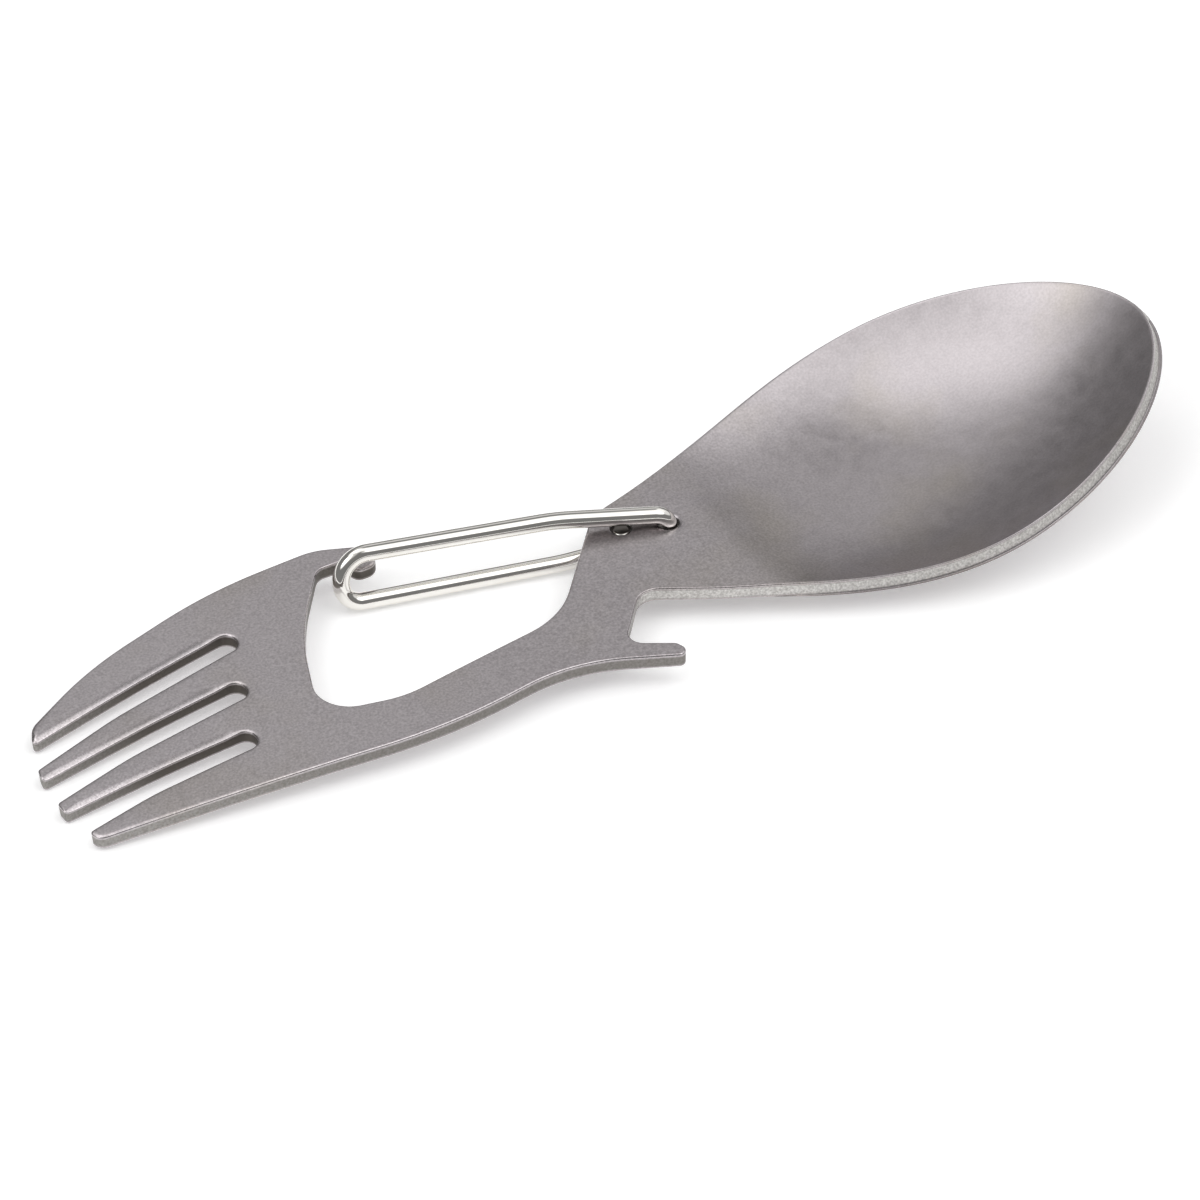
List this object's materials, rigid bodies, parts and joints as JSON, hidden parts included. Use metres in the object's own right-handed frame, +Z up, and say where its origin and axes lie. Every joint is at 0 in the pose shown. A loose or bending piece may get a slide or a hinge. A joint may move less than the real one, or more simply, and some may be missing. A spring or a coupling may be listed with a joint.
{
  "type": "camping spork with carabiner gate",
  "caption": "Flat steel spork: pressed spoon bowl at one end, bent fork at the other, bottle opener notch in the neck and a sprung wire gate that closes the eye like a carabiner.",
  "frame": {"origin": "middle of the bounding box, on the plane that the tine tips and the bowl rest on", "axes": "+X from the fork to the spoon, +Y to the gate's side, +Z up, out of the open face of the bowl"},
  "size_m": [0.1572, 0.0472, 0.0172],
  "materials": {
    "blasted_steel": "bead-blasted satin",
    "polished_wire": "polished drawn wire"
  },
  "bodies": {
    "sheet": {"sheet_body": "blasted_steel"},
    "gate_upper": {"gate_upper_wire": "polished_wire"},
    "gate_lower": {"gate_lower_wire": "polished_wire"}
  },
  "joints": [
    {"name": "gate_upper_hinge", "type": "hinge", "parent": "sheet", "child": "gate_upper", "pos_m": [0.01011, 0.0032, 0.0039], "axis": [0, 0, 1], "range_deg": [0, 18], "stiffness_Nm_per_rad": 0.3},
    {"name": "gate_lower_hinge", "type": "hinge", "parent": "sheet", "child": "gate_lower", "pos_m": [0.00421, 0.0049, 0.0039], "axis": [0, 0, 1], "range_deg": [0, 22]}
  ],
  "couplings": [
    {"joint": "gate_lower_hinge", "follows": "gate_upper_hinge", "ratio": 1.215}
  ]
}
